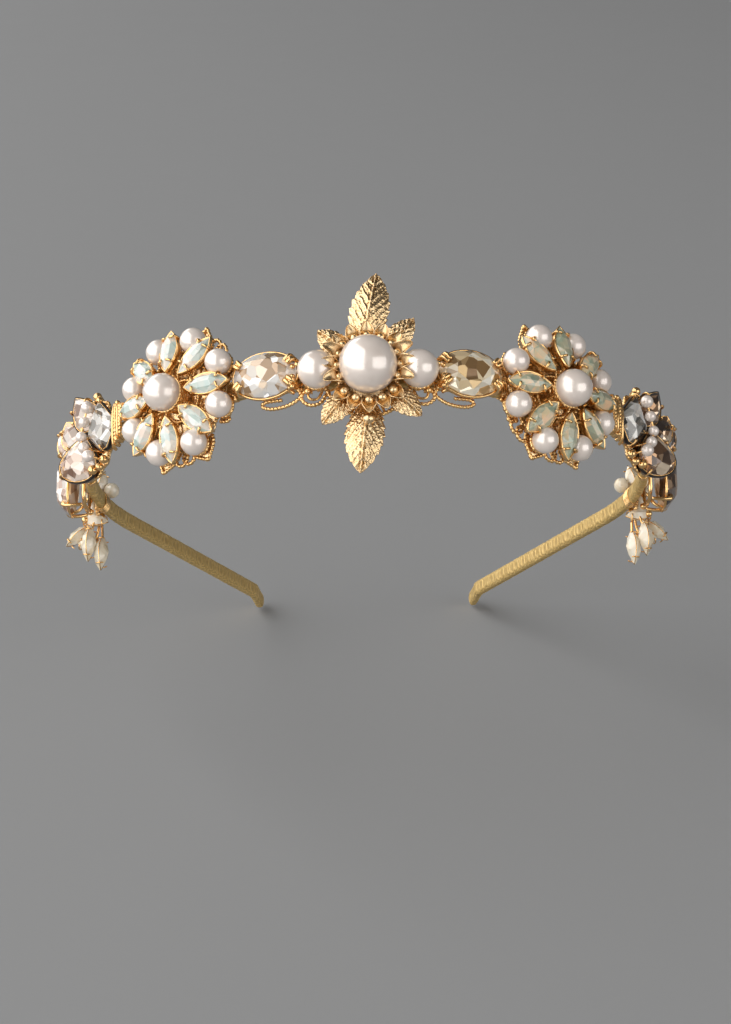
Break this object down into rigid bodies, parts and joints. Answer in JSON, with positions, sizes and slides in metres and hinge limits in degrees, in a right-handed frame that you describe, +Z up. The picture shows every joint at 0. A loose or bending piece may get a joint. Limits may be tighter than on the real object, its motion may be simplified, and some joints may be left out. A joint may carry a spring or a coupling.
{
  "type": "bridal tiara",
  "caption": "Open hair band of thread-wrapped spring wire that carries pearls, leaves, crystals and two pearl flowers on its front and sides.",
  "frame": {"origin": "under the middle of the tiara's box, at the height of the surface that the two tips stand on", "axes": "+X to the right as seen from the front, which is the longest extent; -Y to the front; +Z up. The band's plane leans 44 degrees up from the table"},
  "size_m": [0.146, 0.1352, 0.1321],
  "materials": {
    "gilt_brass": "gold plated, hammered and polished on the high spots",
    "metallic_thread": "gold metallic braid wound tightly round the band",
    "spring_steel": "plain spring strip",
    "pearl": "cream pearl lustre",
    "opal": "milky opal with faint colour play",
    "golden_crystal": "faceted and foil backed, golden brown",
    "clear_crystal": "faceted and foil backed, clear",
    "rose_crystal": "faceted and foil backed, pale rose",
    "brown_crystal": "faceted and foil backed, pink brown"
  },
  "bodies": {
    "front": {"band_core_front": "spring_steel", "band_wrap_front": "metallic_thread", "center_backing": "gilt_brass", "center_pearl": "pearl", "cluster_plate_left": "gilt_brass", "cluster_plate_right": "gilt_brass", "drop_bead": "gilt_brass", "flower_pearl_left": "pearl", "flower_pearl_right": "pearl", "flower_plate_left": "gilt_brass", "flower_plate_right": "gilt_brass", "leaf_bottom": "gilt_brass", "leaf_lower_left": "gilt_brass", "leaf_lower_right": "gilt_brass", "leaf_top": "gilt_brass", "leaf_upper_left": "gilt_brass", "leaf_upper_right": "gilt_brass", "navette_left_1": "opal", "navette_left_2": "opal", "navette_left_3": "opal", "navette_left_4": "opal", "navette_left_5": "opal", "navette_left_6": "opal", "navette_left_7": "opal", "navette_left_8": "opal", "navette_right_1": "opal", "navette_right_2": "opal", "navette_right_3": "opal", "navette_right_4": "opal", "navette_right_5": "opal", "navette_right_6": "opal", "navette_right_7": "opal", "navette_right_8": "opal", "octagon_bezel_left": "gilt_brass", "octagon_bezel_right": "gilt_brass", "octagon_crystal_left": "brown_crystal", "octagon_crystal_right": "brown_crystal", "oval_bezel_left": "gilt_brass", "oval_bezel_right": "gilt_brass", "oval_crystal_left": "golden_crystal", "oval_crystal_right": "golden_crystal", "pear_inner_left": "clear_crystal", "pear_inner_right": "clear_crystal", "pear_lower_left": "rose_crystal", "pear_lower_right": "rose_crystal", "pear_upper_left": "rose_crystal", "pear_upper_right": "rose_crystal", "pearl_string_left": "pearl", "pearl_string_right": "pearl", "petal_ring": "gilt_brass", "rim_pearls_left": "pearl", "rim_pearls_right": "pearl", "side_pearl_left": "pearl", "side_pearl_right": "pearl", "spray_left": "opal", "spray_right": "opal"},
    "left_arm": {"arm_core_left": "spring_steel", "arm_wrap_left": "metallic_thread"},
    "right_arm": {"arm_core_right": "spring_steel", "arm_wrap_right": "metallic_thread"}
  },
  "joints": [
    {"name": "flex_left", "type": "hinge", "parent": "front", "child": "left_arm", "pos_m": [-0.05919, 0.01405, 0.05178], "axis": [0, 0.6947, 0.7193], "range_deg": [-3, 12], "stiffness_Nm_per_rad": 0.8},
    {"name": "flex_right", "type": "hinge", "parent": "front", "child": "right_arm", "pos_m": [0.05919, 0.01405, 0.05178], "axis": [0, -0.6947, -0.7193], "range_deg": [-3, 12], "stiffness_Nm_per_rad": 0.8}
  ]
}
